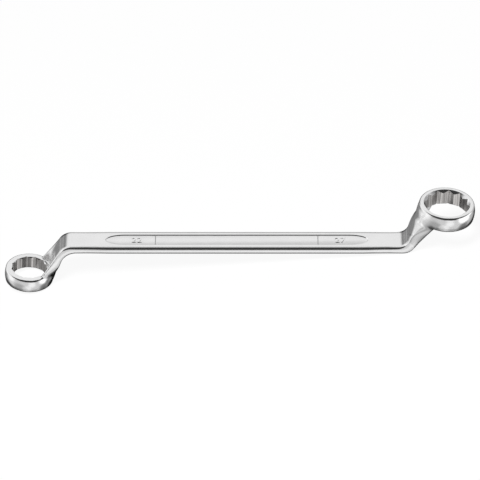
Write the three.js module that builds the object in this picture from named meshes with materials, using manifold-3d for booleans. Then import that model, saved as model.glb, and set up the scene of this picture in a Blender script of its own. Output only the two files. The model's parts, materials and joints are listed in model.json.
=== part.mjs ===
// Double-ended offset ring spanner: one chrome-plated drop forging.
// Millimetres, +Z up. It lies on a bench as such a spanner lies: on the edge of its small ring
// and on the underside of the bend below its large ring.
import * as THREE from 'three';
import { mergeVertices } from 'three/addons/utils/BufferGeometryUtils.js';
import Module from 'manifold-3d';

const wasm = await Module();
wasm.setup();

const degree = Math.PI / 180;

// Shank: a flat bar with a sloped land along each edge, a little narrower near its two bends.
const ringCentres = 285.2;      // between the two ring axes, along the shank
const shankWidth = 20.2;
const shankThickness = 5.2;
const waistWidth = 19.7;        // width just before the bends
const waistLength = 20;         // length over which the shank narrows to its waist
const waistSetback = 5;         // waist to the start of the bend
const landWidth = 2.4;          // sloped band along each edge of both broad faces
const landDrop = 0.4;           // how far its outer edge lies below the face
const edgeRadius = 0.9;         // rounding between a land and the side
const sideCrown = 0.25;         // how far the sides swell at the parting line

// Sunk panel in each broad face of the shank, for the size marks.
const panelLength = 180;
const panelWidth = 11.8;
const panelDepth = 0.5;
const panelEndLength = 13;      // length of the half-ellipse at each end
const panelWallRun = 0.45;      // how far a wall leans over its depth
const panelFilletShare = 0.45;  // part of the depth taken by the hollow at the foot of a wall
const panelFilletSag = 0.25;    // height of that hollow's middle edge, as part of its own height

// Both ring axes lean out by this angle from a square stand on the shank.
const ringLean = 2.7 * degree;

// Openings: a wide lead-in cone on the working face, a narrow one on the handle side.
const openingPoints = 12;
const leadInAngle = 45 * degree;
const workingMouthMargin = 0.3; // mouth circle outside the opening's corners
const handleMouthMargin = -0.6; // and, on the handle side, inside them

// Where each neck runs into its ring.
const bendWidth = 19.8;         // width at the end of the bend
const flareShare = 0.45;        // how much the neck's flare gathers towards the ring
const dishMargin = 1.7;         // hollow in the neck's outer face, outside the opening's corners
const squarePower = 1.6;        // how late the neck's inner side turns from flat to round
const swellPower = 1.3;         // how gently the neck rises from the ring's wall at its two sides
const rootSink = 0.2;           // neck's surface inside the ring's wall where it ends
const rootDepthShare = 0.75;    // how far up the ring the neck reaches
const rootPower = 1.4;          // how soon the neck sinks into the wall on the way
const rimTuckShare = 0.55;      // how far a rim's rounding stands out, as part of its height

const overrun = 3;              // how far each cutter runs past the surface

// The two ends. Distances to the bends are measured along the shank from the ring's axis.
const smallEnd = {
  acrossFlats: 22,
  cornerTurn: 17 * degree,      // one corner of the opening, from the outward direction
  rimRadius: 15.7,              // outer edge of the flat faces
  wallRadius: 16.9,             // fullest part of the rounded wall
  height: 9.7,
  offset: 20.8,                 // shank's middle plane to the face on the handle side
  rimRounding: 1.5,
  outerBendStart: 29.4,
  outerBendRadius: 10,
  innerBendStart: 33.1,
  innerBendRadius: 11.5,
  neckMeet: 8.3,                // where the neck's outer face meets the ring, before its axis
  neckSwell: 2.2,               // how far the neck's inner side stands out from the wall
};
const largeEnd = {
  acrossFlats: 27,
  cornerTurn: -7.5 * degree,
  rimRadius: 18.1,
  wallRadius: 19.5,
  height: 11.2,
  offset: 22.4,
  rimRounding: 1.7,
  outerBendStart: 28.9,
  outerBendRadius: 9,
  innerBendStart: 33.3,
  innerBendRadius: 8.5,
  neckMeet: 8.2,
  neckSwell: 1.7,
};

// Facets.
const flatSteps = 4;
const landSteps = 2;
const roundSteps = 3;
const sideSteps = 4;
const bendSteps = 7;
const neckSteps = 8;
const rootSteps = 5;
const waistSteps = 3;
const ringSteps = 72;
const rimSteps = 3;
const wallSteps = 6;
const panelEndSteps = 10;
const restPasses = 4;           // rounds of finding the two places it lies on
const weldDistance = 1e-4;      // corners of a mesh closer than this are one corner

const mix = (from, to, share) => from + (to - from) * share;
const ease = (share) => share * share * (3 - 2 * share);
const cornerRadius = (end) => end.acrossFlats / 2 / Math.cos(30 * degree);
const notchRadius = (end) => end.acrossFlats / 2 / Math.cos(180 * degree / openingPoints);

// Outside radius of a ring, a height above its face on the handle side.
function ringRadiusAt(end, height) {
  const rounding = end.rimRounding;
  const shoulder = end.rimRadius + rounding * rimTuckShare;
  const toFace = Math.min(height, end.height - height);
  if (toFace < rounding) {
    const rise = 1 - toFace / rounding;
    return mix(end.rimRadius, shoulder, Math.sqrt(1 - rise * rise));
  }
  const away = (height - end.height / 2) / (end.height / 2 - rounding);
  return mix(end.wallRadius, shoulder, away * away);
}

// Closed solid through a row of loops with equal point counts, its two ends closed by fans.
function loftLoops(loops) {
  const count = loops[0].length;
  const positions = loops.flat().flatMap((point) => [point.x, point.y, point.z]);
  const triangles = [];
  for (let row = 0; row + 1 < loops.length; row += 1) {
    for (let i = 0; i < count; i += 1) {
      const next = (i + 1) % count;
      const a = row * count + i;
      const b = row * count + next;
      triangles.push(a, b, a + count, b, b + count, a + count);
    }
  }
  const last = (loops.length - 1) * count;
  for (let i = 1; i + 1 < count; i += 1) {
    triangles.push(0, i + 1, i);
    triangles.push(last, last + i, last + i + 1);
  }
  const geometry = new THREE.BufferGeometry();
  geometry.setAttribute('position', new THREE.Float32BufferAttribute(positions, 3));
  geometry.setIndex(triangles);
  return geometry;
}

// A closed mesh as a solid that can be joined and cut.
function toSolid(geometry) {
  const bare = geometry.clone();
  bare.deleteAttribute('normal');
  bare.deleteAttribute('uv');
  const merged = mergeVertices(bare, weldDistance);
  const solid = new wasm.Manifold(new wasm.Mesh({
    numProp: 3,
    vertProperties: new Float32Array(merged.attributes.position.array),
    triVerts: new Uint32Array(merged.index.array),
  }));
  return solid;
}

function toGeometry(solid) {
  const mesh = solid.getMesh();
  const geometry = new THREE.BufferGeometry();
  geometry.setAttribute('position', new THREE.BufferAttribute(mesh.vertProperties, 3));
  geometry.setIndex(new THREE.BufferAttribute(mesh.triVerts, 1));
  geometry.computeVertexNormals();
  return geometry;
}

// Half of the bar's section, from the middle of one broad face round the side to the other.
// Each point is [across, through], with through counted from the first face.
function barHalfSection(halfWidth, thickness) {
  const points = [];
  const flatHalf = halfWidth - landWidth;
  const landEdge = halfWidth - edgeRadius;
  const landSlope = Math.atan2(landDrop, landWidth);
  const crownMid = thickness / 2;
  const facePoints = [];
  for (let i = 0; i <= flatSteps; i += 1) {
    facePoints.push([flatHalf * i / flatSteps, 0]);
  }
  for (let i = 1; i < landSteps; i += 1) {
    const across = mix(flatHalf, landEdge, i / landSteps);
    facePoints.push([across, landDrop * (across - flatHalf) / landWidth]);
  }
  const edgeDrop = landDrop * (landEdge - flatHalf) / landWidth;
  for (let i = 0; i <= roundSteps; i += 1) {
    const angle = mix(landSlope, 90 * degree, i / roundSteps);
    facePoints.push([
      landEdge + edgeRadius * (Math.sin(angle) - Math.sin(landSlope)),
      edgeDrop + edgeRadius * (Math.cos(landSlope) - Math.cos(angle)),
    ]);
  }
  const sideStart = facePoints[facePoints.length - 1];
  points.push(...facePoints);
  for (let i = 1; i < sideSteps; i += 1) {
    const through = mix(sideStart[1], thickness - sideStart[1], i / sideSteps);
    const away = (through - crownMid) / (crownMid - sideStart[1]);
    points.push([sideStart[0] + sideCrown * (1 - away * away), through]);
  }
  for (const [across, through] of [...facePoints].reverse()) {
    points.push([across, thickness - through]);
  }
  return points;
}

// Half of the section where the neck has become part of the ring. Its outer side, chordAway
// before the ring's axis, is hollowed round that axis between its two lands. Its inner side
// leaves the ring's own circle at the tips and swells to arcReach in the middle.
function ringHalfSection(end, chordHalf, chordAway, arcReach, thickness) {
  const hollow = cornerRadius(end) + dishMargin;
  const hollowHalf = Math.sqrt(Math.max(hollow ** 2 - chordAway ** 2, 0));
  const stretch = thickness / (arcReach - chordAway);
  const landEdge = chordHalf - edgeRadius;
  const landStart = Math.min(hollowHalf, landEdge - edgeRadius);
  const points = [];
  for (let i = 0; i <= flatSteps; i += 1) {
    const across = landStart * i / flatSteps;
    const depth = Math.sqrt(hollow ** 2 - (hollowHalf * i / flatSteps) ** 2) - chordAway;
    points.push([across, depth * stretch]);
  }
  for (let i = 1; i < landSteps; i += 1) {
    points.push([mix(landStart, landEdge, i / landSteps), 0]);
  }
  for (let i = 0; i <= roundSteps; i += 1) {
    const angle = 90 * degree * i / roundSteps;
    points.push([landEdge + edgeRadius * Math.sin(angle), edgeRadius * (1 - Math.cos(angle))]);
  }
  const tipRadius = Math.hypot(chordHalf, chordAway + edgeRadius);
  const tipAngle = Math.atan2(chordHalf, chordAway + edgeRadius);
  const arcSteps = sideSteps + roundSteps + landSteps + flatSteps;
  for (let i = 1; i <= arcSteps; i += 1) {
    const angle = tipAngle * (1 - i / arcSteps);
    const radius = mix(tipRadius, arcReach, Math.sin(90 * degree * i / arcSteps) ** swellPower);
    points.push([radius * Math.sin(angle), (radius * Math.cos(angle) - chordAway) * stretch]);
  }
  return points;
}

// A point of an end's own plane, u outward along the shank from its middle and h towards the
// ring: along runs up the ring's axis from the face on the handle side, out runs away from it.
function ringPoint(end, along, out) {
  return [
    ringCentres / 2 + along * Math.sin(ringLean) + out * Math.cos(ringLean),
    end.offset + along * Math.cos(ringLean) - out * Math.sin(ringLean),
  ];
}

// One profile curve of the neck: round the bend from the shank, then straight to its meeting.
function profileCurve(bendStart, startHeight, radius, meet) {
  const centre = [bendStart, startHeight + radius];
  const along = meet[0] - centre[0];
  const up = meet[1] - centre[1];
  const turn = Math.atan2(up, along) + Math.asin(radius / Math.hypot(along, up));
  const bend = (share) => [
    centre[0] + radius * Math.sin(turn * share),
    centre[1] - radius * Math.cos(turn * share),
  ];
  const straight = (share) => {
    const from = bend(1);
    return [mix(from[0], meet[0], share), mix(from[1], meet[1], share)];
  };
  return { bend, straight };
}

// A half section mirrored into a whole loop, stood between a point of each profile curve.
function placeSection(a, b, half) {
  const length = Math.hypot(b[0] - a[0], b[1] - a[1]);
  const direction = [(b[0] - a[0]) / length, (b[1] - a[1]) / length];
  const place = ([across, through], side) => new THREE.Vector3(
    a[0] + direction[0] * through,
    side * across,
    a[1] + direction[1] * through,
  );
  const oneSide = half.map((point) => place(point, 1));
  const otherSide = half.slice(1, -1).reverse().map((point) => place(point, -1));
  return [...oneSide, ...otherSide];
}

// Every section of one end, from the shank's waist outward to inside the ring.
function endSections(end) {
  const axis = ringCentres / 2;
  const half = shankThickness / 2;
  const reach = end.wallRadius + end.neckSwell;
  const outer = profileCurve(axis - end.outerBendStart, -half, end.outerBendRadius,
    ringPoint(end, 0, -end.neckMeet));
  const inner = profileCurve(axis - end.innerBendStart, half, end.innerBendRadius,
    ringPoint(end, 0, -reach));
  const loops = [];
  const addBar = (a, b, width) => {
    const thickness = Math.hypot(b[0] - a[0], b[1] - a[1]);
    loops.push(placeSection(a, b, barHalfSection(width / 2, thickness)));
  };

  const waistEnd = axis - Math.max(end.innerBendStart, end.outerBendStart) - waistSetback;
  for (let i = 0; i <= waistSteps; i += 1) {
    const share = i / waistSteps;
    const u = waistEnd - waistLength * (1 - share);
    addBar([u, -half], [u, half], mix(shankWidth, waistWidth, ease(share)));
  }
  for (let i = 0; i <= bendSteps; i += 1) {
    const share = i / bendSteps;
    addBar(outer.bend(share), inner.bend(share), mix(waistWidth, bendWidth, share));
  }

  const chordHalf = Math.sqrt(end.rimRadius ** 2 - (end.neckMeet + edgeRadius) ** 2);
  const outerCount = flatSteps + landSteps + roundSteps;
  for (let i = 1; i <= neckSteps; i += 1) {
    const share = i / neckSteps;
    const a = outer.straight(share);
    const b = inner.straight(share);
    const thickness = Math.hypot(b[0] - a[0], b[1] - a[1]);
    const halfWidth = mix(bendWidth / 2, chordHalf, mix(share, share * share, flareShare));
    const asBar = barHalfSection(halfWidth, thickness);
    const asRing = ringHalfSection(end, halfWidth, end.neckMeet, reach, thickness);
    const outerBlend = ease(share);
    const innerBlend = share ** squarePower;
    loops.push(placeSection(a, b, asBar.map((point, k) => {
      const blend = k < outerCount ? outerBlend : innerBlend;
      return [mix(point[0], asRing[k][0], blend), mix(point[1], asRing[k][1], blend)];
    })));
  }
  for (let i = 1; i <= rootSteps; i += 1) {
    const share = i / rootSteps;
    const along = end.height * rootDepthShare * share;
    const wall = ringRadiusAt(end, along);
    const sunk = mix(wall - rootSink, reach, (1 - share) ** rootPower);
    const rim = wall - rootSink * (1 + share);
    const halfWidth = Math.sqrt(rim ** 2 - (end.neckMeet + edgeRadius) ** 2);
    loops.push(placeSection(ringPoint(end, along, -end.neckMeet), ringPoint(end, along, -sunk),
      ringHalfSection(end, halfWidth, end.neckMeet, sunk, sunk - end.neckMeet)));
  }
  return loops;
}

// The whole bar with both necks, one loft from ring to ring. The small end is the same
// construction turned half round, so its loops are read the other way about.
function barBlank() {
  const large = endSections(largeEnd);
  const small = endSections(smallEnd).map((loop) => {
    const turned = loop.map((point) => new THREE.Vector3(-point.x, point.y, -point.z));
    const half = turned.length / 2;
    return turned.map((_, k) => turned[(half - k + turned.length) % turned.length]);
  });
  return loftLoops([...small.reverse(), ...large]);
}

// Stands a shape that was made round the upright axis, its foot at zero, on a ring's axis.
function onRingAxis(geometry, end) {
  const [u, h] = ringPoint(end, 0, 0);
  const turned = geometry.clone();
  turned.applyMatrix4(new THREE.Matrix4().makeRotationY(ringLean));
  turned.applyMatrix4(new THREE.Matrix4().makeTranslation(u, 0, h));
  return turned;
}

// A solid of revolution from [radius, height] points that start and end on the axis.
function revolve(outline) {
  const points = outline.map(([radius, height]) => new THREE.Vector2(radius, height));
  const geometry = new THREE.LatheGeometry(points, ringSteps);
  geometry.applyMatrix4(new THREE.Matrix4().makeRotationX(90 * degree));
  return geometry;
}

// Ring without its opening: flat faces, rounded rims and a wall that swells between them.
function ringBlank(end) {
  const outline = [[0, 0]];
  for (let i = 0; i <= rimSteps; i += 1) {
    const height = end.rimRounding * (1 - Math.cos(90 * degree * i / rimSteps));
    outline.push([ringRadiusAt(end, height), height]);
  }
  for (let i = 1; i < wallSteps; i += 1) {
    const height = mix(end.rimRounding, end.height - end.rimRounding, i / wallSteps);
    outline.push([ringRadiusAt(end, height), height]);
  }
  for (let i = rimSteps; i >= 0; i -= 1) {
    const [radius, height] = outline[1 + i];
    outline.push([radius, end.height - height]);
  }
  outline.push([0, end.height]);
  return revolve(outline);
}

// Twelve-point opening: two hexagons across each other, as one star right through the ring.
function openingCutter(end) {
  const star = new THREE.Shape();
  for (let i = 0; i < 2 * openingPoints; i += 1) {
    const radius = i % 2 === 0 ? cornerRadius(end) : notchRadius(end);
    const angle = end.cornerTurn + 180 * degree * i / openingPoints;
    const point = [radius * Math.cos(angle), radius * Math.sin(angle)];
    if (i === 0) {
      star.moveTo(...point);
    } else {
      star.lineTo(...point);
    }
  }
  star.closePath();
  const geometry = new THREE.ExtrudeGeometry(star, {
    depth: end.height + 2 * overrun,
    bevelEnabled: false,
  });
  geometry.applyMatrix4(new THREE.Matrix4().makeTranslation(0, 0, -overrun));
  return geometry;
}

// Lead-in cone that opens downwards from a mouth circle at zero height.
function leadInCutter(end, margin) {
  const mouth = cornerRadius(end) + margin;
  const depth = (mouth - notchRadius(end)) * Math.tan(leadInAngle);
  return revolve([
    [0, -depth],
    [mouth + depth / Math.tan(leadInAngle), -depth],
    [notchRadius(end), depth],
    [0, depth],
  ]);
}

// Sunk panel: a long outline with half-elliptic ends, leaning walls and a hollow at their foot.
function panelCutter() {
  const outline = (height, inset) => {
    const points = [];
    const straight = panelLength / 2 - panelEndLength;
    for (const end of [1, -1]) {
      for (let i = 0; i <= panelEndSteps; i += 1) {
        const angle = mix(-90, 90, i / panelEndSteps) * degree;
        const along = straight + (panelEndLength - inset) * Math.cos(angle);
        const across = (panelWidth / 2 - inset) * Math.sin(angle);
        points.push(new THREE.Vector3(end * along, end * across, height));
      }
    }
    return points;
  };
  const top = shankThickness / 2;
  const floor = top - panelDepth;
  const hollow = panelDepth * panelFilletShare;
  const lean = panelWallRun / panelDepth;
  return loftLoops([
    outline(floor, panelWallRun + hollow),
    outline(floor + hollow * panelFilletSag, panelWallRun),
    outline(floor + hollow, panelWallRun - hollow * lean),
    outline(top, 0),
    outline(top + overrun, -overrun * lean),
  ]);
}

// One end's ring blank and its cutters, placed in the spanner's frame.
function endPieces(end, turned) {
  const place = (geometry) => {
    const placed = onRingAxis(geometry, end);
    if (turned) {
      placed.applyMatrix4(new THREE.Matrix4().makeRotationY(180 * degree));
    }
    return toSolid(placed);
  };
  const handleLeadIn = leadInCutter(end, handleMouthMargin);
  const workingLeadIn = leadInCutter(end, workingMouthMargin);
  workingLeadIn.applyMatrix4(new THREE.Matrix4().makeRotationX(180 * degree));
  workingLeadIn.applyMatrix4(new THREE.Matrix4().makeTranslation(0, 0, end.height));
  return {
    ring: place(ringBlank(end)),
    cutters: [
      place(openingCutter(end)),
      place(handleLeadIn),
      place(workingLeadIn),
    ],
  };
}

function forging() {
  const small = endPieces(smallEnd, true);
  const large = endPieces(largeEnd, false);
  let solid = toSolid(barBlank()).add(small.ring).add(large.ring);
  for (const cutter of [...small.cutters, ...large.cutters]) {
    solid = solid.subtract(cutter);
  }
  const panel = panelCutter();
  solid = solid.subtract(toSolid(panel));
  panel.applyMatrix4(new THREE.Matrix4().makeRotationY(180 * degree));
  solid = solid.subtract(toSolid(panel));
  return toGeometry(solid);
}

// How far the spanner tips, large end down, until it lies on its small ring and on the bend
// below its large ring: the slope of the line that touches both from below.
function restAngle(geometry) {
  const corners = geometry.attributes.position;
  let touch = null;
  let slope = 0;
  for (let i = 0; i < corners.count; i += 1) {
    if (corners.getX(i) < 0 && (touch === null || corners.getZ(i) < touch.z)) {
      touch = { x: corners.getX(i), z: corners.getZ(i) };
    }
  }
  for (let pass = 0; pass < restPasses; pass += 1) {
    slope = Infinity;
    for (let i = 0; i < corners.count; i += 1) {
      if (corners.getX(i) > 0) {
        slope = Math.min(slope, (corners.getZ(i) - touch.z) / (corners.getX(i) - touch.x));
      }
    }
    let lowest = Infinity;
    for (let i = 0; i < corners.count; i += 1) {
      const height = corners.getZ(i) - slope * corners.getX(i);
      if (corners.getX(i) < 0 && height < lowest) {
        lowest = height;
        touch = { x: corners.getX(i), z: corners.getZ(i) };
      }
    }
  }
  return Math.atan(slope);
}

const chrome = new THREE.MeshStandardMaterial({ color: 0xc9cccf, roughness: 0.14, metalness: 1 });
const geometry = forging();
const spanner = new THREE.Mesh(geometry, chrome);
spanner.name = 'spanner_forging';

// The origin is on the bench, under the middle of the spanner's outside box.
const atRest = new THREE.Group();
atRest.rotation.y = restAngle(geometry);
atRest.add(spanner);
atRest.updateMatrixWorld(true);
const outside = new THREE.Box3().setFromObject(atRest, true);
const middle = outside.getCenter(new THREE.Vector3());
atRest.position.set(-middle.x, -middle.y, -outside.min.z);

const group = new THREE.Group();
group.add(atRest);
export default group;
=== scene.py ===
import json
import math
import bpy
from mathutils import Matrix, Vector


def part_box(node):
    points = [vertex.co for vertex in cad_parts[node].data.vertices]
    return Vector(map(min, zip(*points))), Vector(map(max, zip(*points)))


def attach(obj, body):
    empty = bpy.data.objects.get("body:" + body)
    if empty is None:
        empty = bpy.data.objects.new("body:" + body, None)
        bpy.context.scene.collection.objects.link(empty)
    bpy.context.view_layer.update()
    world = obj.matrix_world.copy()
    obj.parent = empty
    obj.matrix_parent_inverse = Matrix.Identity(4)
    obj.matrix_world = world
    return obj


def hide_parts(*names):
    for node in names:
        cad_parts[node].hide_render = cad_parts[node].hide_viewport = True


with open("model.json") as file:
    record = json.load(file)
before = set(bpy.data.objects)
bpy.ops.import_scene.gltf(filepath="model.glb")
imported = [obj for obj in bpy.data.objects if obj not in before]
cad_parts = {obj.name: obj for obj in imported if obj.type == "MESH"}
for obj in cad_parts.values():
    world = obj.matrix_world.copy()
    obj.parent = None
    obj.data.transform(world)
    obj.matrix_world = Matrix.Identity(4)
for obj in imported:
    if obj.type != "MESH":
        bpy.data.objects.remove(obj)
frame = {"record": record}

# Double-ended offset ring spanner, chrome plated. Lengths are in millimetres until a mesh is
# made from them, and the part's own frame is in metres.
from types import SimpleNamespace

import bpy
from mathutils import Matrix, Vector

MM = 0.001
DEGREE = math.pi / 180
NODE = "spanner_forging"

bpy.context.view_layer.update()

# Shank: a flat bar with a sloped land along each edge, a little narrower near its two bends.
RING_CENTRES = 285.2
SHANK_WIDTH = 20.2
SHANK_THICKNESS = 5.2
WAIST_WIDTH = 19.7
WAIST_LENGTH = 20
WAIST_SETBACK = 5
LAND_WIDTH = 2.4
LAND_DROP = 0.4
EDGE_RADIUS = 0.9
SIDE_CROWN = 0.25

# Sunk panel in each broad face of the shank.
PANEL_LENGTH = 180
PANEL_WIDTH = 11.8
PANEL_DEPTH = 0.5
PANEL_END_LENGTH = 13
PANEL_WALL_RUN = 0.45
PANEL_FILLET_SHARE = 0.45
PANEL_FILLET_SAG = 0.25

# Both ring axes lean out by this angle from a square stand on the shank.
RING_LEAN = 2.7 * DEGREE

# Openings: twelve points, a wide lead-in cone on the working face and a narrow one opposite.
OPENING_POINTS = 12
LEAD_IN_ANGLE = 45 * DEGREE
WORKING_MOUTH_MARGIN = 0.3
HANDLE_MOUTH_MARGIN = -0.6

# Where each neck runs into its ring. The root is a little fuller than the solid's, because it is
# blended into the ring's wall.
BEND_WIDTH = 19.8
FLARE_SHARE = 0.45
DISH_MARGIN = 1.7
SQUARE_POWER = 1.6
SWELL_POWER = 1.3
ROOT_SINK = 0.2
ROOT_DEPTH_SHARE = 0.85
ROOT_POWER = 0.9
RIM_TUCK_SHARE = 0.55

# How far each cutter runs past the surface.
OVERRUN = 3

SMALL_END = SimpleNamespace(
    across_flats=22,
    corner_turn=17 * DEGREE,
    rim_radius=15.7,
    wall_radius=16.9,
    height=9.7,
    offset=20.8,
    rim_rounding=1.5,
    outer_bend_start=29.4,
    outer_bend_radius=10,
    inner_bend_start=33.1,
    inner_bend_radius=11.5,
    neck_meet=8.3,
    neck_swell=2.2,
)
LARGE_END = SimpleNamespace(
    across_flats=27,
    corner_turn=-7.5 * DEGREE,
    rim_radius=18.1,
    wall_radius=19.5,
    height=11.2,
    offset=22.4,
    rim_rounding=1.7,
    outer_bend_start=28.9,
    outer_bend_radius=9,
    inner_bend_start=33.3,
    inner_bend_radius=8.5,
    neck_meet=8.2,
    neck_swell=1.7,
)

# Size numbers and dividing lines that stand up from the floor of the upper panel. A figure takes
# FIGURE_SHARE of its line of type.
NUMBER_HEIGHT = 5.2
NUMBER_RISE = 0.28
NUMBER_BEVEL = 0.05
FIGURE_SHARE = 0.7
SMALL_NUMBER_PLACE = -68.5
LARGE_NUMBER_PLACE = 70.7
SMALL_LINE_PLACE = -55.7
LARGE_LINE_PLACE = 55.6
LINE_WIDTH = 0.6
LINE_RISE = 0.46

# Steps of the fine mesh.
FLAT_STEPS = 8
LAND_STEPS = 4
ROUND_STEPS = 8
SIDE_STEPS = 8
BEND_STEPS = 28
NECK_STEPS = 26
ROOT_STEPS = 14
WAIST_STEPS = 8
RING_STEPS = 256
RIM_STEPS = 10
WALL_STEPS = 16
PANEL_END_STEPS = 32
CREASE_ANGLE = 24 * DEGREE

# Skin over the joined blanks: its cells, and how often and how strongly it is smoothed.
SKIN_CELL = 0.42
SKIN_SMOOTHING = 0.5
SKIN_ROUNDS = 4

# Roots of the necks, smoothed longer. Hollows fill up in full, and what stands out loses only
# ROOT_WEAR of what smoothing would take. Depths are below the neck's outer face, heights above the
# ring's face on the handle side, and reaches outside the ring's wall.
NECK_LEAN = 60 * DEGREE
ROOT_ROUNDS = 240
ROOT_WEAR = 0.2
AFTER_ROUNDS = 30
ROOT_DEPTHS = (0.4, 2.4)
ROOT_HEIGHTS = (-9, -4)
ROOT_TOP_FADE = 1
ROOT_REACHES = (-3, -1, 8, 13)

# Hollow of a neck's outer face: how squarely its surface looks outward at least, its height by
# the ring's face on the handle side, and how far before the ring's axis it ends.
HOLLOW_FACING = 0.25
HOLLOW_HEIGHT = -0.2
HOLLOW_END = 24

# Camera of the photograph: the shank lies level in the picture. Its distance and sight are in
# metres, the picture's size and drop in pixels, and its scale in pixels to a millimetre. The
# middle is a point of the shank's own frame.
CAMERA_ELEVATION = 36.2 * DEGREE
CAMERA_DISTANCE = 3.0
CAMERA_SIGHT = 100
CAMERA_SENSOR = 36
PICTURE_SIZE = 480
PICTURE_SCALE = 1.46
PICTURE_MIDDLE = (2.2, 0, 2.2)
PICTURE_DROP = 0.2

# Room that the chrome mirrors: grey walls between a white ceiling and a pale bench. An edge gives
# the heights of a unit direction at which the change starts and is done.
WALL_LIGHT = 0.44
LOW_LIGHT = 0.75
CEILING_EDGE = (0.2, 0.55)
BENCH_EDGE = (0.1, -0.12)

# Soft round patches of that room. Azimuth 0 is behind the spanner and 90 on its right. Each has
# its azimuth and elevation, its inner and outer angle, all in degrees, and its strength.
# The dark patches below the horizon are painted shadow: the spanner's own shadow on the bench, set
# into the room for the chrome to mirror.
DARK_PATCHES = {
    "ceiling_over_camera": (155, 55, 55, 75, 0.95),
    "card_behind_left": (-30, 15, 5, 20, 0.7),
    "painted_shadow_behind_left": (-20, -50, 40, 50, 0.65),
    "painted_shadow_underneath": (-40, -75, 40, 50, 0.8),
    "painted_shadow_behind": (10, -55, 20, 40, 0.8),
    "painted_shadow_right": (105, -50, 5, 20, 0.7),
    "painted_shadow_front_left": (-130, -40, 15, 30, 0.4),
    "foot_of_back_wall": (-20, 0, 10, 20, 0.85),
    "painted_shadow_behind_right": (35, -40, 20, 50, 0.25),
}
BRIGHT_PATCHES = {
    "window_left": (-90, 10, 20, 35, 0.5),
    "card_under_camera": (170, -25, 5, 20, 0.35),
    "window_right": (105, -5, 25, 40, 0.9),
    "window_behind_left": (-50, 15, 10, 20, 0.45),
    "card_front_left": (-160, -45, 10, 20, 0.3),
}

# Share of its light that the room gives where it isn't mirrored.
FILL_SHARE = 0.3

# Bench, and the lamp that throws the shadow on it, in metres and degrees. BENCH_WHITENESS is the
# share of plain white in what the camera sees of the bench.
BENCH_HALF = 4.0
BENCH_WHITENESS = 0.93
BENCH_COLOUR = (0.9, 0.9, 0.9, 1)
WHITE = (1, 1, 1, 1)
KEY_LAMP = SimpleNamespace(azimuth=-165, elevation=60, distance=2.4, size=0.7, power=70)

# Finishes of the chrome plate: its roughness, its darkest and palest tint, the height of its soft
# waves, that of the marks which a broach or a cutter left along the ring's axis, and how much
# rougher it is in the middle of a hollow that no polishing wheel reaches.
FINISHES = {
    "polished_chrome": SimpleNamespace(
        roughness=0.16, dark=(0.75, 0.75, 0.752), pale=(0.85, 0.848, 0.848),
        wave=0.03, marks=0, dullness=0),
    "turned_chrome": SimpleNamespace(
        roughness=0.2, dark=(0.7, 0.7, 0.705), pale=(0.82, 0.82, 0.822),
        wave=0.03, marks=0.01, dullness=0),
    # Tint of the openings' flanks: a broached plate whose dark tint is also painted shade. It stands
    # for the shadowed bench under the ring, which the flanks mirror. The fine marks are the broach's
    # own.
    "broached_chrome": SimpleNamespace(
        roughness=0.22, dark=(0.24, 0.232, 0.226), pale=(0.66, 0.64, 0.63),
        wave=0.03, marks=0.06, dullness=0),
    "forged_chrome": SimpleNamespace(
        roughness=0.16, dark=(0.75, 0.75, 0.752), pale=(0.85, 0.848, 0.848),
        wave=0.05, marks=0, dullness=0),
    "ground_chrome": SimpleNamespace(
        roughness=0.16, dark=(0.74, 0.74, 0.742), pale=(0.84, 0.838, 0.838),
        wave=0.04, marks=0, dullness=0.3),
}
SLOTS = list(FINISHES)

# How far from its middle a hollow is at its dullest, and where the dullness ends.
DULL_MIDDLE = 8
DULL_END = 17

# Noises of the plate, with their scales in cells to a metre, and what they change.
CLOUD_NOISE = {"Scale": 90, "Detail": 3}
SMEAR_NOISE = {"Scale": 700, "Detail": 2}
WAVE_NOISE = {"Scale": 160, "Detail": 1}
MARK_NOISE = {"Scale": 1400, "Detail": 2}
NOISE_MIDDLE = 0.5
MARK_STRETCH = 50
MARK_CONTRAST = 3.5
CLOUD_ROUGHNESS = 0.05
SMEAR_ROUGHNESS = 0.03

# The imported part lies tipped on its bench: this is the lean of the large ring's face.
large_face = next(m for m in frame["record"]["mounts"] if m["name"] == "large_working_face")
FACE_LEAN = math.atan2(large_face["axis"][0], large_face["axis"][2])


def mix(start, end, share):
    return start + (end - start) * share


def ease(share):
    return share * share * (3 - 2 * share)


def corner_radius(end):
    return end.across_flats / 2 / math.cos(30 * DEGREE)


def notch_radius(end):
    return end.across_flats / 2 / math.cos(math.pi / OPENING_POINTS)


def ring_radius_at(end, height):
    """Outside radius of a ring, a height above its face on the handle side."""
    shoulder = end.rim_radius + end.rim_rounding * RIM_TUCK_SHARE
    to_face = min(height, end.height - height)
    if to_face < end.rim_rounding:
        rise = 1 - to_face / end.rim_rounding
        return mix(end.rim_radius, shoulder, math.sqrt(1 - rise * rise))
    away = (height - end.height / 2) / (end.height / 2 - end.rim_rounding)
    return mix(end.wall_radius, shoulder, away * away)


def loft(name, loops, finish="polished_chrome"):
    """Closed mesh through a row of loops with equal point counts, in metres."""
    count = len(loops[0])
    points = [Vector(point) * MM for loop in loops for point in loop]
    faces = []
    for row in range(len(loops) - 1):
        for i in range(count):
            a = row * count + i
            b = row * count + (i + 1) % count
            faces.append((a, b, b + count, a + count))
    faces.append(tuple(reversed(range(count))))
    faces.append(tuple(range((len(loops) - 1) * count, len(loops) * count)))
    mesh = bpy.data.meshes.new(name)
    mesh.from_pydata(points, [], faces)
    for _ in SLOTS:
        mesh.materials.append(None)
    mesh.polygons.foreach_set("material_index", [SLOTS.index(finish)] * len(faces))
    piece = bpy.data.objects.new(name, mesh)
    bpy.context.scene.collection.objects.link(piece)
    return piece


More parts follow.
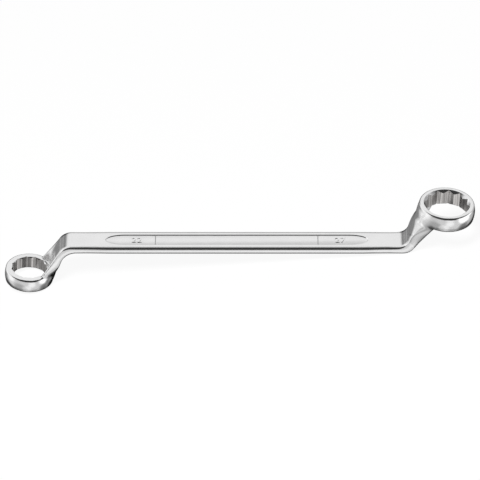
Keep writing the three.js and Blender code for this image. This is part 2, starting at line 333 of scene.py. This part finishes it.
def bar_half_section(half_width, thickness):
    """Half of the bar's section, from the middle of one broad face round the side to the other."""
    flat_half = half_width - LAND_WIDTH
    land_edge = half_width - EDGE_RADIUS
    slope = math.atan2(LAND_DROP, LAND_WIDTH)
    face = [(flat_half * i / FLAT_STEPS, 0) for i in range(FLAT_STEPS + 1)]
    for i in range(1, LAND_STEPS):
        across = mix(flat_half, land_edge, i / LAND_STEPS)
        face.append((across, LAND_DROP * (across - flat_half) / LAND_WIDTH))
    edge_drop = LAND_DROP * (land_edge - flat_half) / LAND_WIDTH
    for i in range(ROUND_STEPS + 1):
        angle = mix(slope, math.pi / 2, i / ROUND_STEPS)
        across = land_edge + EDGE_RADIUS * (math.sin(angle) - math.sin(slope))
        face.append((across, edge_drop + EDGE_RADIUS * (math.cos(slope) - math.cos(angle))))
    side_across, side_start = face[-1]
    side = []
    for i in range(1, SIDE_STEPS):
        through = mix(side_start, thickness - side_start, i / SIDE_STEPS)
        away = (through - thickness / 2) / (thickness / 2 - side_start)
        side.append((side_across + SIDE_CROWN * (1 - away * away), through))
    far = [(across, thickness - through) for across, through in reversed(face)]
    return face + side + far


def ring_half_section(end, chord_half, chord_away, arc_reach, thickness):
    """Half of the section where the neck is part of the ring: a hollow outer side between two
    lands, and an inner side that swells from the ring's own circle."""
    hollow = corner_radius(end) + DISH_MARGIN
    hollow_half = math.sqrt(max(hollow ** 2 - chord_away ** 2, 0))
    stretch = thickness / (arc_reach - chord_away)
    land_edge = chord_half - EDGE_RADIUS
    land_start = min(hollow_half, land_edge - EDGE_RADIUS)
    points = []
    for i in range(FLAT_STEPS + 1):
        depth = math.sqrt(hollow ** 2 - (hollow_half * i / FLAT_STEPS) ** 2) - chord_away
        points.append((land_start * i / FLAT_STEPS, depth * stretch))
    for i in range(1, LAND_STEPS):
        points.append((mix(land_start, land_edge, i / LAND_STEPS), 0))
    for i in range(ROUND_STEPS + 1):
        angle = math.pi / 2 * i / ROUND_STEPS
        across = land_edge + EDGE_RADIUS * math.sin(angle)
        points.append((across, EDGE_RADIUS * (1 - math.cos(angle))))
    tip_radius = math.hypot(chord_half, chord_away + EDGE_RADIUS)
    tip_angle = math.atan2(chord_half, chord_away + EDGE_RADIUS)
    arc_steps = SIDE_STEPS + ROUND_STEPS + LAND_STEPS + FLAT_STEPS
    for i in range(1, arc_steps + 1):
        angle = tip_angle * (1 - i / arc_steps)
        rise = math.sin(math.pi / 2 * i / arc_steps) ** SWELL_POWER
        radius = mix(tip_radius, arc_reach, rise)
        points.append((radius * math.sin(angle), (radius * math.cos(angle) - chord_away) * stretch))
    return points


def ring_point(end, along, out):
    """(u, h) of a point: along runs up the ring's axis, out runs away from it."""
    return (
        RING_CENTRES / 2 + along * math.sin(RING_LEAN) + out * math.cos(RING_LEAN),
        end.offset + along * math.cos(RING_LEAN) - out * math.sin(RING_LEAN),
    )


def profile_curve(bend_start, start_height, radius, meet):
    """Round the bend from the shank, then straight to the meeting with the ring."""
    centre = (bend_start, start_height + radius)
    along = meet[0] - centre[0]
    up = meet[1] - centre[1]
    turn = math.atan2(up, along) + math.asin(radius / math.hypot(along, up))

    def bend(share):
        return (
            centre[0] + radius * math.sin(turn * share),
            centre[1] - radius * math.cos(turn * share),
        )

    def straight(share):
        start = bend(1)
        return (mix(start[0], meet[0], share), mix(start[1], meet[1], share))

    return bend, straight


def place_section(a, b, half):
    """A half section mirrored into a whole loop, stood between a point of each profile curve."""
    length = math.dist(a, b)
    direction = ((b[0] - a[0]) / length, (b[1] - a[1]) / length)

    def place(point, side):
        across, through = point
        return Vector((a[0] + direction[0] * through, side * across, a[1] + direction[1] * through))

    one_side = [place(point, 1) for point in half]
    other_side = [place(point, -1) for point in reversed(half[1:-1])]
    return one_side + other_side


def end_sections(end):
    """Every section of one end, from the shank's waist outward to inside the ring."""
    axis = RING_CENTRES / 2
    half = SHANK_THICKNESS / 2
    reach = end.wall_radius + end.neck_swell
    outer_meet = ring_point(end, 0, -end.neck_meet)
    inner_meet = ring_point(end, 0, -reach)
    outer_bend, outer_straight = profile_curve(
        axis - end.outer_bend_start, -half, end.outer_bend_radius, outer_meet)
    inner_bend, inner_straight = profile_curve(
        axis - end.inner_bend_start, half, end.inner_bend_radius, inner_meet)
    loops = []

    def add_bar(a, b, width):
        loops.append(place_section(a, b, bar_half_section(width / 2, math.dist(a, b))))

    waist_end = axis - max(end.inner_bend_start, end.outer_bend_start) - WAIST_SETBACK
    for i in range(WAIST_STEPS + 1):
        share = i / WAIST_STEPS
        u = waist_end - WAIST_LENGTH * (1 - share)
        add_bar((u, -half), (u, half), mix(SHANK_WIDTH, WAIST_WIDTH, ease(share)))
    for i in range(BEND_STEPS + 1):
        share = i / BEND_STEPS
        add_bar(outer_bend(share), inner_bend(share), mix(WAIST_WIDTH, BEND_WIDTH, share))

    chord_half = math.sqrt(end.rim_radius ** 2 - (end.neck_meet + EDGE_RADIUS) ** 2)
    outer_count = FLAT_STEPS + LAND_STEPS + ROUND_STEPS
    for i in range(1, NECK_STEPS + 1):
        share = i / NECK_STEPS
        a = outer_straight(share)
        b = inner_straight(share)
        half_width = mix(BEND_WIDTH / 2, chord_half, mix(share, share * share, FLARE_SHARE))
        as_bar = bar_half_section(half_width, math.dist(a, b))
        as_ring = ring_half_section(end, half_width, end.neck_meet, reach, math.dist(a, b))
        section = []
        for k, (bar_point, ring_side) in enumerate(zip(as_bar, as_ring)):
            blend = ease(share) if k < outer_count else share ** SQUARE_POWER
            section.append(tuple(mix(bar, ring, blend) for bar, ring in zip(bar_point, ring_side)))
        loops.append(place_section(a, b, section))
    for i in range(1, ROOT_STEPS + 1):
        share = i / ROOT_STEPS
        along = end.height * ROOT_DEPTH_SHARE * share
        wall = ring_radius_at(end, along)
        sunk = mix(wall - ROOT_SINK, reach, (1 - share) ** ROOT_POWER)
        rim = wall - ROOT_SINK * (1 + share)
        half_width = math.sqrt(rim ** 2 - (end.neck_meet + EDGE_RADIUS) ** 2)
        a = ring_point(end, along, -end.neck_meet)
        b = ring_point(end, along, -sunk)
        section = ring_half_section(end, half_width, end.neck_meet, sunk, math.dist(a, b))
        loops.append(place_section(a, b, section))
    return loops


def bar_blank():
    """The whole bar with both necks. The small end is the same construction turned half round."""
    large = end_sections(LARGE_END)
    small = []
    for loop in end_sections(SMALL_END):
        turned = [Vector((-point.x, point.y, -point.z)) for point in loop]
        half = len(turned) // 2
        small.append([turned[half - k] for k in range(len(turned))])
    return loft("bar_blank", list(reversed(small)) + large)


def circle(radius, height):
    turns = [2 * math.pi * i / RING_STEPS for i in range(RING_STEPS)]
    return [(radius * math.cos(turn), radius * math.sin(turn), height) for turn in turns]


def ring_blank(end):
    """Ring without its opening: flat faces, rounded rims and a wall that swells between them."""
    turns = [math.pi / 2 * i / RIM_STEPS for i in range(RIM_STEPS + 1)]
    low = [end.rim_rounding * (1 - math.cos(turn)) for turn in turns]
    high = [end.height - height for height in reversed(low)]
    wall = [mix(low[-1], high[0], i / WALL_STEPS) for i in range(1, WALL_STEPS)]
    stack = low + wall + high
    return loft("ring_blank", [circle(ring_radius_at(end, height), height) for height in stack])


def opening_cutter(end):
    """Twelve-point opening: two hexagons across each other, right through the ring."""
    star = []
    for i in range(2 * OPENING_POINTS):
        radius = notch_radius(end) if i % 2 else corner_radius(end)
        angle = end.corner_turn + math.pi * i / OPENING_POINTS
        star.append((radius * math.cos(angle), radius * math.sin(angle)))
    heights = (-OVERRUN, end.height + OVERRUN)
    loops = [[(x, y, height) for x, y in star] for height in heights]
    # The flanks take the broached plate, which is darkened with painted shade.
    return loft("opening_cutter", loops, "broached_chrome")


def lead_in_cutter(end, margin):
    """Lead-in cone that opens downwards from a mouth circle at zero height."""
    mouth = corner_radius(end) + margin
    depth = (mouth - notch_radius(end)) * math.tan(LEAD_IN_ANGLE)
    wide = mouth + depth / math.tan(LEAD_IN_ANGLE)
    loops = [circle(wide, -depth), circle(notch_radius(end), depth)]
    return loft("lead_in_cutter", loops, "turned_chrome")


def panel_cutter():
    """Sunk panel: half-elliptic ends, leaning walls and a hollow at their foot."""
    straight = PANEL_LENGTH / 2 - PANEL_END_LENGTH

    def outline(height, inset):
        points = []
        for side in (1, -1):
            for i in range(PANEL_END_STEPS + 1):
                angle = mix(-math.pi / 2, math.pi / 2, i / PANEL_END_STEPS)
                along = straight + (PANEL_END_LENGTH - inset) * math.cos(angle)
                across = (PANEL_WIDTH / 2 - inset) * math.sin(angle)
                points.append((side * along, side * across, height))
        return points

    top = SHANK_THICKNESS / 2
    floor = top - PANEL_DEPTH
    hollow = PANEL_DEPTH * PANEL_FILLET_SHARE
    lean = PANEL_WALL_RUN / PANEL_DEPTH
    return loft("panel_cutter", [
        outline(floor, PANEL_WALL_RUN + hollow),
        outline(floor + hollow * PANEL_FILLET_SAG, PANEL_WALL_RUN),
        outline(floor + hollow, PANEL_WALL_RUN - hollow * lean),
        outline(top, 0),
        outline(top + OVERRUN, -OVERRUN * lean),
    ], "forged_chrome")


def transform(piece, *steps):
    """Moves a piece's mesh by one matrix after another."""
    for step in steps:
        piece.data.transform(step)
    return piece


def on_ring_axis(piece, end, turned):
    """Stands a piece on a ring's axis, at the ring's face on the handle side. The small end is
    turned half round."""
    u, h = ring_point(end, 0, 0)
    transform(piece, Matrix.Rotation(RING_LEAN, 4, "Y"), Matrix.Translation(Vector((u, 0, h)) * MM))
    if turned:
        transform(piece, Matrix.Rotation(math.pi, 4, "Y"))
    return piece


def made_mesh(piece):
    """What a piece's curves and modifiers make, as a mesh of its own."""
    graph = bpy.context.evaluated_depsgraph_get()
    return bpy.data.meshes.new_from_object(piece.evaluated_get(graph))


def settle(piece):
    """Puts what a piece's modifiers make into its own mesh."""
    made = made_mesh(piece)
    piece.modifiers.clear()
    piece.data = made


def combine(piece, others, operation):
    """Joins others to a piece, or cuts them from it, and removes them."""
    for other in others:
        change = piece.modifiers.new(operation, "BOOLEAN")
        change.operation = operation
        change.solver = "MANIFOLD"
        change.object = other
        settle(piece)
        bpy.data.objects.remove(other)
    return piece


def rising(value, start, full):
    """0 up to start, 1 from full on, eased between."""
    return ease(min(max((value - start) / (full - start), 0), 1))


def between(value, start, full, last, finish):
    """0 outside start and finish, 1 from full to last, eased between."""
    return rising(value, start, full) * rising(-value, -finish, -last)


def nearer_end(point):
    return LARGE_END if point.x > 0 else SMALL_END


def ring_place(end, point):
    """Where a point of the forging lies by the ring of its own end: how high above the face on
    the handle side, how far before the ring's axis, and how deep below the neck's outer face."""
    turned = -1 if end is SMALL_END else 1
    u = turned * point.x / MM - RING_CENTRES / 2
    h = turned * point.z / MM - end.offset
    along = h * math.cos(RING_LEAN) + u * math.sin(RING_LEAN)
    before = h * math.sin(RING_LEAN) - u * math.cos(RING_LEAN)
    depth = (before - end.neck_meet) * math.sin(NECK_LEAN) + along * math.cos(NECK_LEAN)
    return along, before, depth


def near_root(point):
    """How strongly a point of the skin is smoothed: fully on a neck's inner side close to its
    ring, and not on the neck's outer face or the ring's faces and rims."""
    end = nearer_end(point)
    along, before, depth = ring_place(end, point)
    reach = math.hypot(before, point.y / MM) - end.wall_radius
    top = end.height - end.rim_rounding
    return (
        rising(depth, *ROOT_DEPTHS)
        * between(along, *ROOT_HEIGHTS, top - ROOT_TOP_FADE, top)
        * between(reach, *ROOT_REACHES)
    )


def flow(piece, group, rounds):
    """Smooths the part of a skin that belongs to a vertex group."""
    smoothing = piece.modifiers.new("flow", "SMOOTH")
    smoothing.factor = SKIN_SMOOTHING
    smoothing.iterations = rounds
    smoothing.vertex_group = group
    settle(piece)


def soft_skin(piece):
    """One even skin over the joined blanks, so that the necks flow into the rings."""
    skin = piece.modifiers.new("skin", "REMESH")
    skin.mode = "VOXEL"
    skin.voxel_size = SKIN_CELL * MM
    skin.use_smooth_shade = True
    smoothing = piece.modifiers.new("smoothing", "SMOOTH")
    smoothing.factor = SKIN_SMOOTHING
    smoothing.iterations = SKIN_ROUNDS
    settle(piece)
    roots = piece.vertex_groups.new(name="roots")
    for vertex in piece.data.vertices:
        share = near_root(vertex.co)
        if share > 0:
            roots.add((vertex.index,), share, "REPLACE")
    before = [(vertex.co.copy(), vertex.normal.copy()) for vertex in piece.data.vertices]
    flow(piece, roots.name, ROOT_ROUNDS)
    for vertex, (start, normal) in zip(piece.data.vertices, before):
        rise = (vertex.co - start).dot(normal)
        vertex.co = start + normal * max(rise, rise * ROOT_WEAR)
    flow(piece, roots.name, AFTER_ROUNDS)
    piece.vertex_groups.clear()
    return piece


def grind_hollows(piece):
    """The hollow in each neck's outer face, where a polishing wheel doesn't reach, is duller."""
    slot = SLOTS.index("ground_chrome")
    for polygon in piece.data.polygons:
        end = nearer_end(polygon.center)
        along, before, depth = ring_place(end, polygon.center)
        facing = depth - ring_place(end, polygon.center + polygon.normal * MM)[2]
        half_width = math.sqrt((corner_radius(end) + DISH_MARGIN) ** 2 - end.neck_meet ** 2)
        in_hollow = along < HOLLOW_HEIGHT and before < HOLLOW_END
        if facing > HOLLOW_FACING and in_hollow and abs(polygon.center.y) < half_width * MM:
            polygon.material_index = slot
    return piece


def spanner_mesh():
    """The forging in the shank's own frame: blanks joined and smoothed, then machined."""
    rings = []
    cutters = []
    for end, turned in ((SMALL_END, True), (LARGE_END, False)):
        rings.append(on_ring_axis(ring_blank(end), end, turned))
        cutters.append(on_ring_axis(opening_cutter(end), end, turned))
        cutters.append(on_ring_axis(lead_in_cutter(end, HANDLE_MOUTH_MARGIN), end, turned))
        working = transform(
            lead_in_cutter(end, WORKING_MOUTH_MARGIN),
            Matrix.Rotation(math.pi, 4, "X"),
            Matrix.Translation((0, 0, end.height * MM)),
        )
        cutters.append(on_ring_axis(working, end, turned))
    cutters.append(panel_cutter())
    cutters.append(transform(panel_cutter(), Matrix.Rotation(math.pi, 4, "Y")))
    blank = combine(bar_blank(), rings, "UNION")
    return grind_hollows(combine(soft_skin(blank), cutters, "DIFFERENCE"))


def rest_placement(piece):
    """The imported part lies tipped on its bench: its tilt is read from the large ring's face,
    and its place from its box."""
    tilt = Matrix.Rotation(FACE_LEAN - RING_LEAN, 4, "Y")
    tipped = [tilt @ vertex.co for vertex in piece.data.vertices]
    lowest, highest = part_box(NODE)
    middle = (min(p.x for p in tipped) + max(p.x for p in tipped)) / 2
    foot = min(p.z for p in tipped)
    shift = Vector(((lowest.x + highest.x) / 2 - middle, 0, lowest.z - foot))
    return Matrix.Translation(shift) @ tilt


def panel_number(name, text, place):
    """A raised size number on the floor of the upper panel, read from the camera's side."""
    words = bpy.data.curves.new(name, "FONT")
    words.body = text
    words.align_x = "CENTER"
    words.align_y = "CENTER"
    words.size = NUMBER_HEIGHT * MM / FIGURE_SHARE
    words.extrude = NUMBER_RISE * MM / 2
    words.bevel_depth = NUMBER_BEVEL * MM
    outline = bpy.data.objects.new("outline", words)
    bpy.context.scene.collection.objects.link(outline)
    piece = bpy.data.objects.new(name, made_mesh(outline))
    bpy.context.scene.collection.objects.link(piece)
    bpy.data.objects.remove(outline)
    floor = SHANK_THICKNESS / 2 - PANEL_DEPTH
    return transform(piece, Matrix.Translation(Vector((place, 0, floor + NUMBER_RISE / 2)) * MM))


def panel_line(name, place):
    """A low ridge across the upper panel."""
    floor = SHANK_THICKNESS / 2 - PANEL_DEPTH
    half = LINE_WIDTH / 2
    reach = PANEL_WIDTH / 2
    loops = []
    for side in (-1, 1):
        loops.append([
            (place - half, side * reach, floor - LINE_RISE),
            (place + half, side * reach, floor - LINE_RISE),
            (place + half, side * reach, floor + LINE_RISE / 2),
            (place, side * reach, floor + LINE_RISE),
            (place - half, side * reach, floor + LINE_RISE / 2),
        ])
    return loft(name, loops)


class Shade:
    """A node's output, with the maths that is done on its value."""

    def __init__(self, nodes, socket):
        self.nodes = nodes
        self.socket = socket

    def maths(self, operation, first, second):
        return self.nodes.add(
            "ShaderNodeMath", {"operation": operation}, Value=first, Value_001=second)

    def __add__(self, other):
        return self.maths("ADD", self, other)

    def __radd__(self, other):
        return self.maths("ADD", other, self)

    def __sub__(self, other):
        return self.maths("SUBTRACT", self, other)

    def __rsub__(self, other):
        return self.maths("SUBTRACT", other, self)

    def __mul__(self, other):
        return self.maths("MULTIPLY", self, other)

    def __rmul__(self, other):
        return self.maths("MULTIPLY", other, self)


class Nodes:
    """The node tree of a material or a world, emptied and filled again."""

    def __init__(self, owner):
        owner.use_nodes = True
        self.tree = owner.node_tree
        self.tree.nodes.clear()

    def add(self, kind, settings=None, pick=None, **values):
        """A node: its settings, and then its sockets, each set to a value or linked to another
        node's output. Gives back the output that is picked, or else the first."""
        node = self.tree.nodes.new(kind)
        for key, value in (settings or {}).items():
            setattr(node, key, value)
        for key, value in values.items():
            socket = next(
                s for s in node.inputs
                if s.enabled and key in (s.identifier, s.name.replace(" ", "_")))
            if isinstance(value, Shade):
                self.tree.links.new(value.socket, socket)
            else:
                socket.default_value = value
        outputs = [s for s in node.outputs if s.enabled and pick in (None, s.name)]
        return Shade(self, outputs[0]) if outputs else None


def hollow_middles(placement):
    """The middle of each neck's hollow, on the spanner as it lies."""
    large = Vector((*ring_point(LARGE_END, 0, -LARGE_END.neck_meet), 0)).xzy * MM
    small = Vector((*ring_point(SMALL_END, 0, -SMALL_END.neck_meet), 0)).xzy * MM
    return placement @ large, placement @ Vector((-small.x, 0, -small.z))


def chrome(name, finish, hollows):
    """Chrome plate: clouded grey metal with soft waves. Where it was broached or turned, fine
    marks run along the ring's axis. A dull finish is dullest in the middle of each hollow."""
    material = bpy.data.materials.new(name)
    nodes = Nodes(material)
    spot = nodes.add("ShaderNodeTexCoord", pick="Object")
    cloud = nodes.add("ShaderNodeTexNoise", Vector=spot, **CLOUD_NOISE)
    smear = nodes.add("ShaderNodeTexNoise", Vector=spot, **SMEAR_NOISE)
    wave = nodes.add("ShaderNodeTexNoise", Vector=spot, **WAVE_NOISE)
    shade = cloud
    height = wave * (finish.wave * MM)
    if finish.marks:
        upright = nodes.add(
            "ShaderNodeVectorRotate", {"rotation_type": "Y_AXIS"}, Vector=spot, Angle=-FACE_LEAN)
        drawn = nodes.add(
            "ShaderNodeVectorMath", {"operation": "MULTIPLY"},
            Vector=upright, Vector_001=(1, 1, 1 / MARK_STRETCH))
        marks = nodes.add("ShaderNodeTexNoise", Vector=drawn, **MARK_NOISE)
        shade = (marks - NOISE_MIDDLE) * MARK_CONTRAST + cloud
        height = height + marks * (finish.marks * MM)
    rough = (
        finish.roughness
        + (cloud - NOISE_MIDDLE) * CLOUD_ROUGHNESS
        + (smear - NOISE_MIDDLE) * SMEAR_ROUGHNESS
    )
    if finish.dullness:
        for middle in hollows:
            away = nodes.add(
                "ShaderNodeVectorMath", {"operation": "DISTANCE"}, Vector=spot, Vector_001=middle)
            rough = rough + nodes.add(
                "ShaderNodeMapRange", Value=away, From_Min=DULL_MIDDLE * MM,
                From_Max=DULL_END * MM, To_Min=finish.dullness, To_Max=0)
    tint = nodes.add(
        "ShaderNodeMix", {"data_type": "RGBA"},
        Factor=shade, A=(*finish.dark, 1), B=(*finish.pale, 1))
    bump = nodes.add("ShaderNodeBump", Strength=1, Distance=1, Height=height)
    metal = nodes.add(
        "ShaderNodeBsdfPrincipled", Metallic=1, Base_Color=tint, Roughness=rough, Normal=bump)
    nodes.add("ShaderNodeOutputMaterial", Surface=metal)
    return material


def finish_forging(forging, materials):
    """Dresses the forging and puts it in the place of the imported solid."""
    forging.name = "spanner"
    forging.data.name = "spanner"
    for slot, material in enumerate(materials.values()):
        forging.data.materials[slot] = material
    forging.data.shade_smooth()
    bpy.context.view_layer.objects.active = forging
    forging.select_set(True)
    bpy.ops.object.shade_smooth_by_angle(angle=CREASE_ANGLE)
    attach(forging, "root")
    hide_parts(NODE)


def add_marks(placement, material):
    """The size numbers and dividing lines of the upper panel."""
    marks = [
        panel_number("number_22", "22", SMALL_NUMBER_PLACE),
        panel_number("number_27", "27", LARGE_NUMBER_PLACE),
        panel_line("line_small_end", SMALL_LINE_PLACE),
        panel_line("line_large_end", LARGE_LINE_PLACE),
    ]
    for mark in marks:
        transform(mark, placement)
        mark.data.materials.clear()
        mark.data.materials.append(material)
        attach(mark, "root")


def add_bench():
    """A plain bench top: white to the camera, with the spanner's shadow faintly on it. The chrome
    mirrors the lower half of the room in its place, with the spanner's shadow painted into it."""
    corners = [(-1, -1), (1, -1), (1, 1), (-1, 1)]
    mesh = bpy.data.meshes.new("bench")
    mesh.from_pydata(
        [(x * BENCH_HALF, y * BENCH_HALF, 0) for x, y in corners], [], [(0, 1, 2, 3)])
    bench = bpy.data.objects.new("bench", mesh)
    bpy.context.scene.collection.objects.link(bench)
    material = bpy.data.materials.new("white_bench")
    nodes = Nodes(material)
    paint = nodes.add("ShaderNodeBsdfDiffuse", Color=BENCH_COLOUR)
    glow = nodes.add("ShaderNodeEmission", Color=WHITE, Strength=1)
    seen = nodes.add("ShaderNodeLightPath", pick="Is Camera Ray")
    surface = nodes.add(
        "ShaderNodeMixShader", Fac=seen * BENCH_WHITENESS, Shader=paint, Shader_001=glow)
    nodes.add("ShaderNodeOutputMaterial", Surface=surface)
    mesh.materials.append(material)
    bench.visible_glossy = False


def heading(azimuth, elevation):
    """Unit direction: azimuth from +Y towards +X, elevation from the horizon, in degrees."""
    turn = azimuth * DEGREE
    rise = elevation * DEGREE
    return Vector((math.sin(turn) * math.cos(rise), math.cos(turn) * math.cos(rise), math.sin(rise)))


def add_world():
    """White to the camera. The chrome mirrors a pale room with dark and bright patches; the dark
    ones below the horizon are the spanner's shadow on the bench, painted in.
    """
    world = bpy.data.worlds.new("studio")
    bpy.context.scene.world = world
    nodes = Nodes(world)
    direction = nodes.add("ShaderNodeTexCoord", pick="Generated")
    height = nodes.add("ShaderNodeSeparateXYZ", pick="Z", Vector=direction)

    def ramp(start, full, gain):
        """Nothing at the start height, gain at the full one, straight between."""
        return nodes.add(
            "ShaderNodeMapRange", Value=height, From_Min=start, From_Max=full, To_Min=0, To_Max=gain)

    def patch(azimuth, elevation, inner, outer, gain):
        """The gain within the inner angle of a direction, and nothing outside the outer one."""
        nearness = nodes.add(
            "ShaderNodeVectorMath", {"operation": "DOT_PRODUCT"},
            Vector=direction, Vector_001=heading(azimuth, elevation))
        return nodes.add(
            "ShaderNodeMapRange", {"interpolation_type": "SMOOTHSTEP"}, Value=nearness,
            From_Min=math.cos(outer * DEGREE), From_Max=math.cos(inner * DEGREE),
            To_Min=0, To_Max=gain)

    light = (
        WALL_LIGHT
        + ramp(*CEILING_EDGE, 1 - WALL_LIGHT)
        + ramp(*BENCH_EDGE, LOW_LIGHT - WALL_LIGHT)
    )
    for dark in DARK_PATCHES.values():
        light = light * (1 - patch(*dark))
    for bright in BRIGHT_PATCHES.values():
        light = light + patch(*bright)
    mirrored = nodes.add("ShaderNodeLightPath", pick="Is Glossy Ray")
    share = FILL_SHARE + (1 - FILL_SHARE) * mirrored
    room = nodes.add("ShaderNodeBackground", Color=WHITE, Strength=light * share)
    white = nodes.add("ShaderNodeBackground", Color=WHITE, Strength=1)
    seen = nodes.add("ShaderNodeLightPath", pick="Is Camera Ray")
    surface = nodes.add("ShaderNodeMixShader", Fac=seen, Shader=room, Shader_001=white)
    nodes.add("ShaderNodeOutputWorld", Surface=surface)


def add_camera(placement):
    """The photograph's camera: level with the shank across the picture, looking down on it."""
    camera = bpy.data.cameras.new("photo_camera")
    camera.sensor_width = CAMERA_SENSOR
    camera.lens = CAMERA_SENSOR * CAMERA_DISTANCE / (PICTURE_SIZE / PICTURE_SCALE * MM)
    camera.clip_end = CAMERA_SIGHT
    eye = bpy.data.objects.new("photo_camera", camera)
    bpy.context.scene.collection.objects.link(eye)
    turn = placement.to_3x3()
    right = turn @ Vector((1, 0, 0))
    up = turn @ Vector((0, math.sin(CAMERA_ELEVATION), math.cos(CAMERA_ELEVATION)))
    back = turn @ Vector((0, -math.cos(CAMERA_ELEVATION), math.sin(CAMERA_ELEVATION)))
    target = placement @ (Vector(PICTURE_MIDDLE) * MM) + up * (PICTURE_DROP / PICTURE_SCALE * MM)
    stand = target + back * CAMERA_DISTANCE
    eye.matrix_world = Matrix((
        (right.x, up.x, back.x, stand.x),
        (right.y, up.y, back.y, stand.y),
        (right.z, up.z, back.z, stand.z),
        (0, 0, 0, 1),
    ))
    bpy.context.scene.camera = eye


def add_key_lamp():
    """A square soft lamp that faces the spanner. The chrome doesn't mirror it."""
    light = bpy.data.lights.new("key_lamp", "AREA")
    light.shape = "SQUARE"
    light.size = KEY_LAMP.size
    light.energy = KEY_LAMP.power
    lamp = bpy.data.objects.new("key_lamp", light)
    lamp.location = heading(KEY_LAMP.azimuth, KEY_LAMP.elevation) * KEY_LAMP.distance
    lamp.rotation_euler = lamp.location.to_track_quat("Z", "Y").to_euler()
    lamp.visible_glossy = False
    bpy.context.scene.collection.objects.link(lamp)


spanner = spanner_mesh()
placement = rest_placement(spanner)
transform(spanner, placement)
hollows = hollow_middles(placement)
materials = {name: chrome(name, finish, hollows) for name, finish in FINISHES.items()}
finish_forging(spanner, materials)
add_marks(placement, materials["polished_chrome"])

add_bench()
add_world()
add_camera(placement)
add_key_lamp()
bpy.context.scene.view_settings.view_transform = "Standard"
